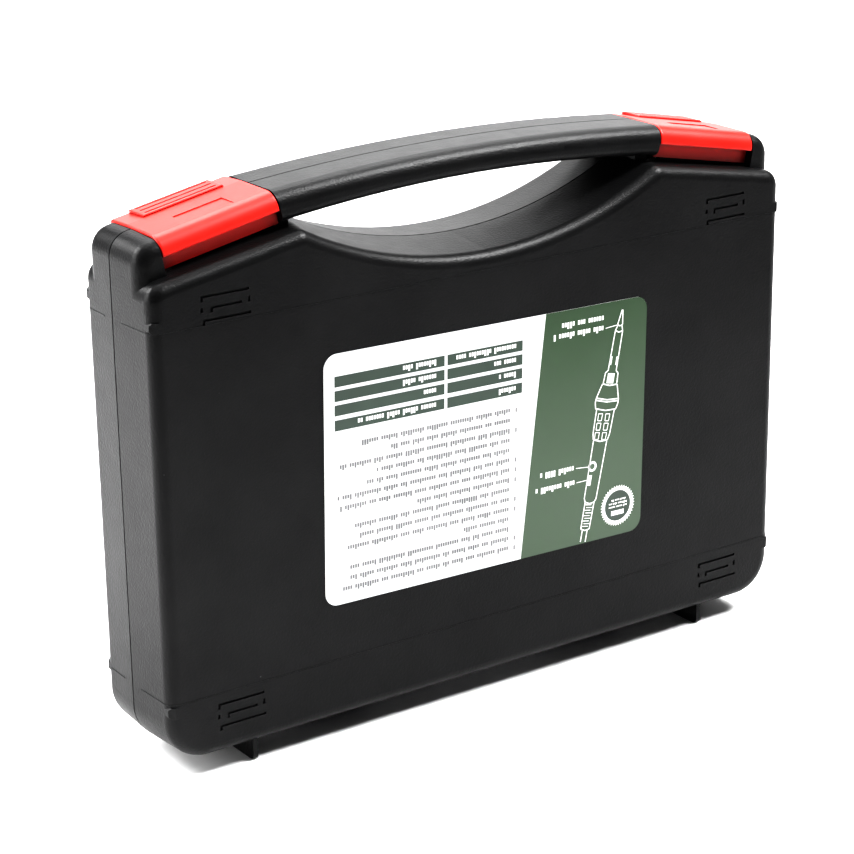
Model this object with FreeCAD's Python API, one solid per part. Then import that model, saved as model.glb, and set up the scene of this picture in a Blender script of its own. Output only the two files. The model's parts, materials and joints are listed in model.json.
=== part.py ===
import FreeCAD, Part
import math
import os

# Carry case of a soldering iron kit, standing upright on its foot ribs, with the kit inside.
# Millimetres. X runs across the case, -Y is the lid's side, +Z is up.
# The pieces are drawn in case coordinates: y = 0 is the seam between the two half shells and
# z = 0 is the outside of their bottom walls. Each piece is moved to the row's frame on export.

V = FreeCAD.Vector
X_AXIS, Y_AXIS, Z_AXIS = V(1, 0, 0), V(0, 1, 0), V(0, 0, 1)
LID, BASE = -1, 1                    # side of the seam, as the sign of y

# ---- driving dimensions: shells ------------------------------------------------------------
HALF_WIDTH = 117.5
DEPTH = {LID: 21.6, BASE: 17.8}      # seam to outer face
BAND_DEPTH = {LID: 16.0, BASE: 14.6}  # seam to the face of the thinner handle band
DRAFT = math.tan(math.radians(2.0))
WALL = 2.2
SEAM_GAP = 0.5
FOOT_H = 6.0
LABEL_T = 0.15
SEAM_Y = (DEPTH[LID] + LABEL_T - DEPTH[BASE]) / 2   # centres the case on the row's origin

BOTTOM_R = 13.0
TOP_R = 5.5
FACE_R = 3.9
SHELF_X, SHELF_Z = 110.0, 148.3      # a point on the sloping top shelf
SHELF_SLOPE = math.radians(10.0)
SMILE_R, SMILE_LOW = 134.0, 140.9    # concave top below the handle, measured at the seam
SMILE_DRAFT = {LID: math.tan(math.radians(6.5)), BASE: math.tan(math.radians(0.7))}
SMILE_END = 64.3                     # where it meets the shelves
SMILE_END_R = 5.0

# ---- driving dimensions: handle ------------------------------------------------------------
HANDLE_TOP, HANDLE_TOP_R = 169.9, 740.0
BAR_LOW, BAR_LOW_R = 161.6, 545.0    # underside of the handle bar
GRIP_X, GRIP_END_R = 64.5, 0.6       # pointed ends of the grip opening
HANDLE_HOLLOW_X = 55.0
HANDLE_EDGE_R, GRIP_EDGE_R = 5.0, 2.6
HANDLE_SKIN = 2.8

# ---- driving dimensions: latches -----------------------------------------------------------
LATCH_X, LATCH_Z = 90.75, 162.96     # centre of a latch's top plane
LATCH_TILT = 11.0                    # degrees, down towards the outer end
LATCH_HALF = 19.6
LATCH_END_GAP = 0.3
LATCH_END_R = 0.7
PIN_Y, PIN_Z = 10.4, -3.9            # latch hinge line in the latch's own frame
PIN_R, PIN_CLEAR = 1.0, 0.07
CATCH_WALL_Y = (-10.4, -8.4)         # wall of the lid that the latch hooks over
BARREL_R = 2.4

# ---- driving dimensions: lid hinge ---------------------------------------------------------
HINGE_Z = -3.2
KNUCKLE_R, HINGE_PIN_R = 2.6, 1.2
KNUCKLE_LEN, KNUCKLE_GAP = 9.0, 0.3
HINGE_X = 50.0

# ---- driving dimensions: kit ---------------------------------------------------------------
TOOL_Y = 2.5                         # centre lines of the round tools, from the seam
TRAY_TOP_Y, TRAY_BACK_Y = 0.8, 15.4
FOAM_INSET, LID_FOAM_T, FOAM_TOP = 4.0, 3.5, 132.0
IRON_RECESS_R, PUMP_RECESS_R = 12.6, 10.6
TIP_R = 3.2
IRON_Z, PUMP_Z, TWEEZER_Z, SOLDER_Z, STAND_Z = 112.0, 84.5, 63.0, 42.0, 19.0


# ---- small helpers -------------------------------------------------------------------------
def box(x0, x1, y0, y1, z0, z1):
    return Part.makeBox(x1 - x0, y1 - y0, z1 - z0, V(x0, y0, z0))


def cyl_x(x0, x1, y, z, radius):
    return Part.makeCylinder(radius, x1 - x0, V(x0, y, z), X_AXIS)


def tube_x(x0, x1, y, z, outer, inner):
    return cyl_x(x0, x1, y, z, outer).cut(cyl_x(x0 - 1, x1 + 1, y, z, inner))


def turned_x(profile, y, z):
    """Solid of revolution about a line along X; profile is a list of (x, radius)."""
    points = [V(x, y, z + r) for x, r in profile]
    closing = [V(profile[-1][0], y, z), V(profile[0][0], y, z)]
    wire = Part.makePolygon(points + closing + points[:1])
    return Part.Face(wire).revolve(V(0, y, z), X_AXIS, 360)


def plate(points, y0, y1):
    """Polygon of (x, z) points, extruded from y0 to y1."""
    wire = Part.makePolygon([V(x, y0, z) for x, z in points + points[:1]])
    return Part.Face(wire).extrude(V(0, y1 - y0, 0))


def fuse(first, *others):
    return first.multiFuse(list(others)).removeSplitter() if others else first


def fillet(shape, radius, edges):
    return shape.makeFillet(radius, edges) if edges else shape


def edges_at(shape, x, z, reach=2.5):
    """Edges whose ends all lie near (+-x, z): the edges that run along Y there."""
    return [e for e in shape.Edges if e.BoundBox.XLength < 2 * reach
            and all(abs(abs(v.X) - x) < reach and abs(v.Z - z) < reach for v in e.Vertexes)]


def edges_on_face(shape, y):
    return [e for e in shape.Edges if all(abs(v.Y - y) < 1e-4 for v in e.Vertexes)]


def mirrored(shape):
    return shape.mirror(V(0, 0, 0), X_AXIS)


def span(side, near, far):
    """y range from near to far on one side of the seam, in rising order."""
    return (near, far) if side == BASE else (-far, -near)


def arc_face(lower, upper, y0, y1):
    """Lens between two three-point arcs given as (end x, end z, middle z)."""
    def curve(arc):
        x, z, mid = arc
        return Part.Arc(V(-x, y0, z), V(0, y0, mid), V(x, y0, z)).toShape()
    edges = [curve(lower)]
    if abs(lower[1] - upper[1]) > 1e-6:
        edges += [Part.makeLine(V(s * lower[0], y0, lower[1]), V(s * upper[0], y0, upper[1]))
                  for s in (1, -1)]
    edges.append(curve(upper))
    wire = Part.Wire(Part.__sortEdges__(edges))
    return Part.Face(wire).extrude(V(0, y1 - y0, 0))


def export(name, shape):
    placed = shape.copy()
    placed.translate(V(0, SEAM_Y, FOOT_H))
    placed.exportStep("parts/" + name + ".step")
    print("%-18s solids %d valid %s volume %.1f cm3" % (
        name, len(placed.Solids), placed.isValid(), placed.Volume / 1000))


# ---- outline of the full-depth body --------------------------------------------------------
def shelf_z(x):
    return SHELF_Z + (SHELF_X - abs(x)) * math.tan(SHELF_SLOPE)


def body_outline(inset, y):
    """Straight-sided outline; the concave top edge is cut later."""
    half = HALF_WIDTH - inset
    drop = inset / math.cos(SHELF_SLOPE)
    points = [(-half, inset), (half, inset), (half, shelf_z(half) - drop),
              (0, shelf_z(0) - drop), (-half, shelf_z(half) - drop)]
    return Part.makePolygon([V(x, y, z) for x, z in points + points[:1]])


def smile_cone(inset, side):
    """Round cutter of the concave top; it gets wider towards the outer face of each half."""
    inner_y, outer_y = 6.0, 45.0
    radii = [SMILE_R + inset + y * SMILE_DRAFT[side] for y in (-inner_y, outer_y)]
    return Part.makeCone(radii[0], radii[1], inner_y + outer_y,
                         V(0, -side * inner_y, SMILE_LOW + SMILE_R), V(0, side, 0))


def body_block(inset, side, near, far, draft=DRAFT, soft_top=False, face_r=0.0):
    """Body volume shrunk by inset, from near to far on one side of the seam."""
    wires = [body_outline(inset + y * draft, side * y) for y in (near, far)]
    block = Part.makeLoft(wires, True, True)
    block = fillet(block, BOTTOM_R - inset, edges_at(block, HALF_WIDTH - inset, inset))
    if soft_top:
        block = fillet(block, TOP_R - inset,
                       edges_at(block, HALF_WIDTH - inset, shelf_z(HALF_WIDTH) - inset))
    block = block.cut(smile_cone(inset, side))
    if face_r:
        block = fillet(block, SMILE_END_R, edges_at(block, SMILE_END, shelf_z(SMILE_END)))
        block = fillet(block, face_r, edges_on_face(block, side * far))
    return block


# ---- latch frame ---------------------------------------------------------------------------
def to_latch_seat(shape):
    """Moves a shape from the latch's own frame to the right-hand seat."""
    seated = shape.copy()
    seated.rotate(V(0, 0, 0), Y_AXIS, LATCH_TILT)
    seated.translate(V(LATCH_X, 0, LATCH_Z))
    return seated


def seat_point(along, up):
    tilt = math.radians(LATCH_TILT)
    return (LATCH_X + along * math.cos(tilt) + up * math.sin(tilt),
            LATCH_Z - along * math.sin(tilt) + up * math.cos(tilt))


def both_seats(shape):
    right = to_latch_seat(shape)
    return [right, mirrored(right)]


# ---- handle band ---------------------------------------------------------------------------
def shoulder(side):
    """Rounded block outboard of the right-hand latch."""
    depth = BAND_DEPTH[side]
    wall_x = LATCH_HALF + LATCH_END_GAP
    slope = math.tan(math.radians(LATCH_TILT))

    def top_z(x):
        return 158.7 - slope * (x - 110.0)

    def outline(inset, y):
        inner_low = seat_point(wall_x, -13.0)
        inner_top = seat_point(wall_x, -0.45 - inset)
        outer = HALF_WIDTH - inset
        points = [(105.0, 135.0), inner_low, inner_top, (outer, top_z(outer) - inset), (outer, 135.0)]
        return Part.makePolygon([V(x, y, z) for x, z in points + points[:1]])

    wires = [outline(y * DRAFT, side * y) for y in (SEAM_GAP / 2, depth)]
    block = Part.makeLoft(wires, True, True)
    block = fillet(block, 7.0, edges_at(block, HALF_WIDTH, top_z(HALF_WIDTH)))
    rim = [e for e in edges_on_face(block, side * depth)
           if e.BoundBox.XMax > 110.9 and e.BoundBox.ZMax > 140]
    return fillet(block, 4.5, rim)


def handle_top_z(x):
    return HANDLE_TOP - (HANDLE_TOP_R - math.sqrt(HANDLE_TOP_R ** 2 - x * x))


def bar_low_z(x):
    return BAR_LOW - (BAR_LOW_R - math.sqrt(BAR_LOW_R ** 2 - x * x))


def smile_z(x):
    return SMILE_LOW + SMILE_R - math.sqrt(SMILE_R ** 2 - x * x)


def grip_opening():
    """Space under the handle bar, taken a little below the concave top, which is its floor."""
    end, sunk = GRIP_X, 2.0
    low_z, high_z = smile_z(end) - sunk, bar_low_z(end)
    space = arc_face((end, low_z, SMILE_LOW - sunk), (end, high_z, BAR_LOW), -50, 50)
    ends = edges_at(space, end, low_z, 0.1) + edges_at(space, end, high_z, 0.1)
    return fillet(space, GRIP_END_R, ends)


def bar_clearance():
    """Space in front of the opening's end walls: the lid's half of the bar stands free there."""
    end = LATCH_X - LATCH_HALF + 3.0
    return arc_face((end, 140.0, 138.0), (end, bar_low_z(end), BAR_LOW), -50, CATCH_WALL_Y[0])


def handle_half(side):
    """Handle half with the grip opening and the hollow that keeps its wall even."""
    depth = BAND_DEPTH[side]
    wall_x = -(LATCH_HALF + LATCH_END_GAP)
    low = seat_point(wall_x, -13.0)
    high_x = seat_point(wall_x, -0.3)[0]
    high = (high_x, handle_top_z(high_x))
    y0, y1 = span(side, SEAM_GAP / 2, depth)
    corners = [V(-high[0], y0, high[1]), V(-low[0], y0, low[1]), V(-60, y0, 128),
               V(60, y0, 128), V(low[0], y0, low[1]), V(high[0], y0, high[1])]
    edges = [Part.makeLine(a, b) for a, b in zip(corners, corners[1:])]
    edges.append(Part.Arc(corners[-1], V(0, y0, HANDLE_TOP), corners[0]).toShape())
    block = Part.Face(Part.Wire(edges)).extrude(V(0, y1 - y0, 0))
    top = [e for e in edges_on_face(block, side * depth) if e.BoundBox.ZMin > 160]
    block = fillet(block, HANDLE_EDGE_R, top)
    block = block.cut(grip_opening())
    if side == LID:
        block = block.cut(bar_clearance())
    rim = [e for e in edges_on_face(block, side * depth)
           if e.BoundBox.ZMin > bar_low_z(60) - 2 and abs(e.BoundBox.XMin + e.BoundBox.XMax) < 1
           and e.BoundBox.ZMax < BAR_LOW + 1]
    block = fillet(block, GRIP_EDGE_R, rim)
    p0, p1 = span(side, 0, depth - 3.6)
    end = HANDLE_HOLLOW_X
    hollow = arc_face((end, bar_low_z(end) + HANDLE_SKIN, BAR_LOW + HANDLE_SKIN),
                      (end, handle_top_z(end) - HANDLE_SKIN, HANDLE_TOP - HANDLE_SKIN), p0, p1)
    ribs = [box(x - 0.8, x + 0.8, -40, 40, 150, 175) for x in (-36, -12, 12, 36)]
    return block.cut(hollow.cut(Part.makeCompound(ribs)))


# ---- surface features of the shells --------------------------------------------------------
MARK_X, MARK_Z = 92.9, (138.4, 13.2)
WITNESS_Z = (133.3, 20.1)
CORNER_KEYS = {LID: ((133.5, 136.6), (15.9, 19.4)), BASE: ((135.4, 139.0), (18.6, 22.2))}   # z ranges


def corner_marks(side):
    """Grooves of the four corner marks: three bars with short ticks and dots between them."""
    pitch, width, depth = 3.5, 0.85, 0.6
    y0, y1 = span(side, DEPTH[side] - depth, DEPTH[side] + 1)
    cuts = []
    for cx in (-MARK_X, MARK_X):
        for cz in MARK_Z:
            for row, (x0, x1) in ((1, (-8.0, 8.0)), (0, (-4.9, 5.5)), (-1, (-7.6, 8.4))):
                z = cz + row * pitch
                cuts.append(box(cx + x0, cx + x1, y0, y1, z - width / 2, z + width / 2))
                cuts.append(box(cx + x0, cx + x0 + width, y0, y1, z - 1.5, z))
            cuts.append(box(cx - 8.2, cx - 7.3, y0, y1, cz - 1.1, cz + 0.3))
            cuts.append(box(cx + 7.4, cx + 8.3, y0, y1, cz - 0.4, cz + 1.3))
    return Part.makeCompound(cuts)


def witness_lines(side):
    """Hair-thin raised lines where the mould's face and side blocks meet."""
    proud, width = 0.12, 0.3
    skin = body_block(-proud, side, 5.0, DEPTH[side] + proud, face_r=FACE_R)
    slabs = [box(-130, 130, -40, 40, z - width / 2, z + width / 2) for z in WITNESS_Z]
    bands = skin.common(Part.makeCompound(slabs))
    return bands.cut(body_block(1.0, side, 0.0, DEPTH[side] - 1.0))


def corner_keys(side):
    """Small square blocks that fill the rounded upright edges beside the witness lines."""
    y0, y1 = span(side, DEPTH[side] - 4.5, DEPTH[side])
    sharp = body_block(0.0, side, 3.0, DEPTH[side])
    end_cut, upright_cut = 0.7, 1.5
    keys = []
    for z0, z1 in CORNER_KEYS[side]:
        for x0, x1 in ((-120, -112.5), (112.5, 120)):
            key = sharp.common(box(x0, x1, y0, y1, z0, z1))
            level = [e for e in key.Edges
                     if all(abs(v.Z - z0) < 1e-4 for v in e.Vertexes)
                     or all(abs(v.Z - z1) < 1e-4 for v in e.Vertexes)]
            outer = [e for e in level if abs(e.CenterOfMass.x) > 116.2]
            key = key.makeChamfer(end_cut, outer)
            upright = [e for e in key.Edges if e.BoundBox.ZLength > 1
                       and abs(e.CenterOfMass.x) > 116 and abs(e.CenterOfMass.y) > DEPTH[side] - 0.1]
            keys.append(key.makeChamfer(upright_cut, upright))
    return keys


def foot_ribs(side):
    x, y_far = {LID: (87.3, 19.5), BASE: (82.0, 16.0)}[side]
    thick = 1.7
    y0, y1 = span(side, 3.0, y_far)
    feet = []
    for centre in (-x, x):
        rib = box(centre - thick / 2, centre + thick / 2, y0, y1, -FOOT_H, 1.0)
        low = [e for e in rib.Edges
               if all(abs(v.Z + FOOT_H) < 1e-4 and abs(v.Y - side * y_far) < 1e-4 for v in e.Vertexes)]
        feet.append(rib.makeFillet(2.0, low))
    return feet


def knuckle_places(side):
    """x ranges of the hinge knuckles: the base has the middle one of each group."""
    step = KNUCKLE_LEN + KNUCKLE_GAP
    offsets = (0,) if side == BASE else (-step, step)
    return [(s * HINGE_X + o - KNUCKLE_LEN / 2, s * HINGE_X + o + KNUCKLE_LEN / 2)
            for s in (-1, 1) for o in offsets]


def knuckles(side):
    y0, y1 = span(side, SEAM_GAP / 2, KNUCKLE_R)
    solids = []
    for x0, x1 in knuckle_places(side):
        web = box(x0, x1, y0, y1, HINGE_Z, 0.8)
        solids.append(cyl_x(x0, x1, 0, HINGE_Z, KNUCKLE_R).fuse(web))
    return solids


def hinge_bores(side):
    radius = HINGE_PIN_R + (0.08 if side == LID else 0.0)
    return [cyl_x(x0 - 0.1, x1 + 0.1, 0, HINGE_Z, radius) for x0, x1 in knuckle_places(side)]


# ---- shells --------------------------------------------------------------------------------
def shell(side):
    depth = DEPTH[side]
    body = body_block(0.0, side, SEAM_GAP / 2, depth, soft_top=True, face_r=FACE_R)
    right = shoulder(side)
    outer = fuse(body, right, mirrored(right), handle_half(side))
    outer = fuse(outer, *(corner_keys(side) + foot_ribs(side) + knuckles(side)))
    cavity = body_block(WALL, side, 0.0, depth - WALL)
    outer = outer.cut(cavity)
    outer = outer.cut(Part.makeCompound(hinge_bores(side)))
    outer = outer.cut(corner_marks(side))
    return fuse(outer, witness_lines(side))


def lid_shell():
    """Lid half with the catch wall that each latch hooks over."""
    wall = box(-14, 14, *CATCH_WALL_Y, -13, -3.0)
    ridge = plate_yz([(-10.2, -3.6), (-11.6, -4.8), (-11.6, -5.9), (-10.2, -5.9)], -13, 13)
    return fuse(shell(LID), *(both_seats(wall) + both_seats(ridge)))


def plate_yz(points, x0, x1):
    """Polygon of (y, z) points, extruded from x0 to x1."""
    wire = Part.makePolygon([V(x0, y, z) for y, z in points + points[:1]])
    return Part.Face(wire).extrude(V(x1 - x0, 0, 0))


def base_shell():
    """Base half with the rim tongue, the ledge under each latch barrel and the latch pin holes."""
    rim = body_block(WALL - 0.2, BASE, SEAM_GAP / 2, 1.6, draft=0)
    tongue = rim.cut(body_block(3.5, BASE, -5, 5, draft=0))
    lip = body_block(WALL + 0.3, LID, -1.0, 2.0, draft=0).cut(body_block(3.5, LID, -5, 5, draft=0))
    ledge = box(-LATCH_HALF - 1, LATCH_HALF + 1, 7.4, BAND_DEPTH[BASE] - 0.6, -13, -7.4)
    case = fuse(shell(BASE), tongue, lip, *both_seats(ledge))
    hole = cyl_x(-LATCH_HALF - 3, LATCH_HALF + 3, PIN_Y, PIN_Z, PIN_R)
    return case.cut(Part.makeCompound(both_seats(hole)))


# ---- latches -------------------------------------------------------------------------------
def latch():
    """Snap latch in its own frame: plate with a rounded front lip, a skirt set back below the
    lip, hinge barrel and hook."""
    x0 = -LATCH_HALF
    outer = [V(x0, 12.6, -2.3), V(x0, 12.6, -0.5), V(x0, 3.0, 0.0), V(x0, -10.8, -0.15)]
    bend_out = Part.Arc(outer[-1], V(x0, -14.7, -1.75), V(x0, -16.1, -5.4)).toShape()
    lip = [V(x0, -16.1, -5.4), V(x0, -15.9, -5.8), V(x0, -14.5, -5.8), V(x0, -14.3, -5.4)]
    bend_in = Part.Arc(lip[-1], V(x0, -13.4, -3.0), V(x0, -10.8, -2.1)).toShape()
    inner = [V(x0, -10.8, -2.1), V(x0, 12.6, -2.3)]
    lines = [Part.makeLine(a, b) for run in (outer, lip, inner) for a, b in zip(run, run[1:])]
    wire = Part.Wire(Part.__sortEdges__(lines + [bend_out, bend_in]))
    cover = Part.Face(wire).extrude(V(2 * LATCH_HALF, 0, 0))
    ends = [e for e in cover.Edges if e.BoundBox.XLength < 1e-4
            and all(v.Z > -0.6 or v.Y < -16.05 for v in e.Vertexes)]
    cover = fillet(cover, LATCH_END_R, ends)
    barrel = cyl_x(-LATCH_HALF, LATCH_HALF, PIN_Y, PIN_Z, BARREL_R)
    rib = box(-12, 12, -13.0, -11.9, -6.9, -1.6)
    nib = plate_yz([(-12.5, -6.9), (-11.2, -6.9), (-10.8, -6.5), (-10.8, -6.2), (-12.5, -6.2)], -12, 12)
    skirt = box(-LATCH_HALF, LATCH_HALF, -13.4, -12.4, -10.2, -2.6)
    pad_top = 0.6
    pad = box(-13.5, 13.5, 3.6, 12.3, -0.6, pad_top)
    crown = [e for e in pad.Edges if all(abs(v.Z - pad_top) < 1e-4 for v in e.Vertexes)]
    pad = pad.makeFillet(0.45, crown)
    body = fuse(cover, barrel, rib, nib, skirt, pad)
    grooves = [box(-12.0, 12.0, y - 0.35, y + 0.35, 0.15, 2) for y in (5.2, 7.95, 10.7)]
    panel = box(-8.3, 8.3, -10.9, -4.0, -0.35, 1)
    body = body.cut(Part.makeCompound(grooves)).cut(panel)
    return body.cut(cyl_x(-LATCH_HALF - 1, LATCH_HALF + 1, PIN_Y, PIN_Z, PIN_R + PIN_CLEAR))


def label():
    """Printed sheet, stuck on a little out of level."""
    width, height, corner = 121.9, 79.1, 4.5
    sheet = box(-width / 2, width / 2, -LABEL_T, 0, -height / 2, height / 2)
    corners = [e for e in sheet.Edges if abs(e.BoundBox.YLength - LABEL_T) < 1e-4
               and e.BoundBox.XLength < 1e-4]
    sheet = sheet.makeFillet(corner, corners)
    sheet.rotate(V(0, 0, 0), Y_AXIS, 1.2)
    sheet.translate(V(-0.75, -DEPTH[LID], 76.35))
    return sheet


# ---- foam ----------------------------------------------------------------------------------
BAY_LEFT, BAY_RIGHT, BAY_TOP, BAY_END_TOP = -18.0, 57.0, 52.0, 27.0
BLOCK_GAP = 0.3
TIP_X = [66.0 + 9.0 * i for i in range(5)]
TIP_Z0, TIP_LEN = 33.0, 40.0


def tray_blocks():
    """Foam insert of the base in three blocks round an open bay for the mains cord.

    The wide block has the long tools; the two small ones stand left and right of the bay.
    """
    slab = body_block(FOAM_INSET, BASE, TRAY_TOP_Y, TRAY_BACK_Y, draft=DRAFT)
    gap = 0.4
    recesses = [
        cyl_x(-50, 104.0, TOOL_Y, IRON_Z, IRON_RECESS_R), cyl_x(-109, -49.8, TOOL_Y, IRON_Z, 7.0),
        cyl_x(-97, 106, TOOL_Y, PUMP_Z, PUMP_RECESS_R), cyl_x(-103, -96.8, TOOL_Y, PUMP_Z, 7.6),
        box(-103, -76, TOOL_Y, 13.5, PUMP_Z - 10, PUMP_Z + 10),
        box(-106, 18, -2, 9.8, TWEEZER_Z - 6.5, TWEEZER_Z + 6.5),
        cyl_x(-107, -22, TOOL_Y, SOLDER_Z, 8.0 + gap),
        box(-106, -22, -2, 11.6, STAND_Z - 11.4, STAND_Z + 11.4),
    ]
    recesses += [box(x - 3.3 - gap, x + 3.3 + gap, -2, TOOL_Y + 4.5, TIP_Z0 - 1, TIP_Z0 + TIP_LEN + 1)
                 for x in TIP_X]
    mouth = box(-50, 104, -2, TOOL_Y, IRON_Z - IRON_RECESS_R, IRON_Z + IRON_RECESS_R)
    pump_mouth = box(-103, 106, -2, TOOL_Y, PUMP_Z - PUMP_RECESS_R, PUMP_Z + PUMP_RECESS_R)
    foam = slab.cut(fuse(mouth, pump_mouth, *recesses))
    limits = {
        "tray_foam": box(-130, 130, -5, 30, BAY_TOP + BLOCK_GAP / 2, FOAM_TOP),
        "tray_foam_left": box(-130, BAY_LEFT, -5, 30, -5, BAY_TOP - BLOCK_GAP / 2),
        "tray_foam_right": box(BAY_RIGHT, 130, -5, 30, BAY_END_TOP, BAY_TOP - BLOCK_GAP / 2),
    }
    return {name: foam.common(limit) for name, limit in limits.items()}


def lid_foam():
    """Pad on the inside of the lid's face, which keeps the tools in their recesses."""
    back = DEPTH[LID] - WALL - 0.1
    pad = body_block(FOAM_INSET, LID, back - LID_FOAM_T, back)
    return pad.common(box(-130, 130, -30, 5, -5, FOAM_TOP))


# ---- soldering iron, lying along X with its tip towards -X -----------------------------------
def iron_pieces():
    y, z = TOOL_Y, IRON_Z
    nut_x = -46.0
    pieces = {
        "iron_tip": turned_x([(-107.0, 0.3), (-95.0, 2.0), (-90.0, 3.2), (-66.0, 3.2)], y, z).cut(
            cyl_x(-88.0, -60.0, y, z, 2.2)),
        "tip_sleeve": turned_x([(-91.0, 4.2), (-89.5, 5.0), (-41.5, 5.0), (-41.5, 6.4), (-40.0, 6.4)],
                               y, z).cut(cyl_x(-89.9, -39.0, y, z, 4.3)).cut(
            cyl_x(-95.0, -85.0, y, z, 3.3)),
        "heater": cyl_x(-87.5, -20.0, y, z, 2.1),
        "heater_collar": turned_x([(-65.5, 4.2), (-63.0, 4.2), (-63.0, 3.4), (-38.0, 3.4), (-38.0, 5.4),
                                   (-24.0, 5.4)], y, z).cut(cyl_x(-70, -20, y, z, 2.15)),
    }
    nut = turned_x([(nut_x, 6.5), (nut_x + 1.2, 7.6), (-29.0, 9.2), (-27.0, 9.2)], y, z)
    nut = nut.cut(cyl_x(-60, -41.4, y, z, 5.1)).cut(cyl_x(-41.6, -20, y, z, 6.6))
    flutes = [cyl_x(-44, -26, y + 9.6 * math.cos(a), z + 9.6 * math.sin(a), 1.0)
              for a in (math.radians(30 * i) for i in range(12))]
    pieces["sleeve_nut"] = nut.cut(Part.makeCompound(flutes))
    neck = turned_x([(-39.6, 6.3), (-26.6, 6.3), (-26.6, 9.6), (-22.0, 10.4), (-8.0, 8.4),
                     (34.0, 8.4), (38.0, 11.6), (44.0, 12.0), (78.0, 12.0), (94.0, 8.6), (98.0, 7.0)], y, z)
    hollow = fuse(cyl_x(-40.0, 96.0, y, z, 5.5), cyl_x(-10, 92, y, z, 6.0), cyl_x(40, 80, y, z, 9.6))
    body = neck.cut(hollow).cut(cyl_x(95, 99, y, z, 4.0))
    body = body.cut(cyl_y_hole(52.0, 5.7, y, z)).cut(
        box(66.6, 77.4, y - 14, y, z - 3.4, z + 3.4))
    pieces["handle_body"] = body
    grip = turned_x([(-24.0, 10.6), (-20.0, 11.6), (-9.0, 10.4), (30.0, 11.0), (36.5, 12.2),
                     (37.6, 12.2)], y, z)
    core = turned_x([(-26.0, 9.72), (-22.0, 10.44), (-8.0, 8.44), (34.0, 8.44), (38.0, 11.64)], y, z)
    grip = grip.cut(core)
    windows = [box(x, x + 7.0, y - 20, y + 20, z - 1.6, z + 1.6) for x in (-4.0, 6.0, 16.0)]
    band = turned_x([(-6, 20), (28, 20)], y, z).cut(turned_x([(-7, 9.6), (29, 10.2)], y, z))
    pieces["silicone_grip"] = grip.cut(Part.makeCompound(windows).common(band))
    pieces["circuit_board"] = box(42.0, 79.0, y + 1.0, y + 2.6, z - 8.5, z + 8.5).cut(
        box(64, 70, y - 5, y + 5, z + 6, z + 10))
    pieces["temp_knob"] = iron_knob(52.0, y, z)
    pieces["power_switch"] = fuse(box(67.0, 73.0, y - 12.6, y - 7.4, z - 3.0, z + 3.0),
                                  *[box(x, x + 0.8, y - 13.2, y - 12.0, z - 2.4, z + 2.4)
                                    for x in (68.0, 69.6, 71.2)])
    gland = turned_x([(93.0, 5.3), (94.8, 5.3), (94.8, 3.95), (98.2, 3.95), (98.2, 5.2), (101.5, 5.0)], y, z)
    pieces["cord_gland"] = gland.cut(cyl_x(90, 105, y, z, 2.9))
    return pieces


def cyl_y_hole(x, radius, y, z):
    return Part.makeCylinder(radius, 14, V(x, y - 14, z), Y_AXIS)


def iron_knob(x, y, z):
    """Temperature knob: a slotted disc that looks out of the handle on its front."""
    disc = Part.makeCylinder(5.4, 3.2, V(x, y - 12.6, z), Y_AXIS)
    stem = Part.makeCylinder(2.0, 9.9, V(x, y - 9.6, z), Y_AXIS)
    slot = box(x - 3.6, x + 3.6, y - 13, y - 11.8, z - 0.6, z + 0.6)
    return disc.fuse(stem).cut(slot)


# ---- desoldering pump, lying along X with its nozzle towards -X ------------------------------
PUMP_BARREL = (-70.0, 40.0)
PUMP_STROKE = 40.0
BUTTON_X = 30.5


def pump_pieces():
    """Pump with its plunger sprung out: spring between the nose and the piston."""
    y, z = TOOL_Y, PUMP_Z
    x0, x1 = PUMP_BARREL
    piston_x = x1 - 24.0
    knob_x = x1 + 12.0 + PUMP_STROKE
    barrel = tube_x(x0, x1, y, z, 10.0, 8.6)
    nose = turned_x([(x0 - 25, 4.6), (x0 - 20, 5.4), (x0 - 8, 9.4), (x0, 10.0), (x0, 8.58),
                     (x0 + 10, 8.58)], y, z)
    nose = nose.cut(turned_x([(x0 - 16, 2.9), (x0 - 6, 7.4), (x0 + 11, 7.4)], y, z))
    nozzle = turned_x([(x0 - 32, 1.7), (x0 - 25.2, 2.6), (x0 - 25.2, 2.85), (x0 - 14, 2.85)], y, z)
    piston = [(0, 8.2), (4, 8.2), (4, 6.8), (6, 6.8), (6, 8.2), (10, 8.2)]
    collar = turned_x([(x1 - 6, 8.55), (x1, 8.55), (x1, 10.0), (x1 + 6, 10.0), (x1 + 10, 6.0)], y, z)
    knob = [(0, 5.0), (2, 8.6), (10, 8.6), (12, 7.0)]
    return {
        "pump_barrel": barrel.cut(Part.makeCylinder(3.2, 12, V(BUTTON_X, y - 12, z), Y_AXIS)),
        "pump_nose": nose.cut(cyl_x(x0 - 30, x0 - 10, y, z, 2.9)),
        "pump_nozzle": nozzle.cut(cyl_x(x0 - 35, x0 - 10, y, z, 1.1)),
        "pump_piston": turned_x([(piston_x + x, r) for x, r in piston], y, z),
        "pump_rod": cyl_x(piston_x + 10, knob_x, y, z, 2.4),
        "pump_knob": turned_x([(knob_x + x, r) for x, r in knob], y, z),
        "pump_spring": wound_wire(x0 + 10.4, piston_x - 0.4, y, z, 6.6, 0.55, 16),
        "pump_collar": collar.cut(cyl_x(x1 - 10, x1 + 12, y, z, 2.47)),
        "pump_button": Part.makeCylinder(3.1, 2.9, V(BUTTON_X, y - 11.6, z), Y_AXIS),
    }


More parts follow.
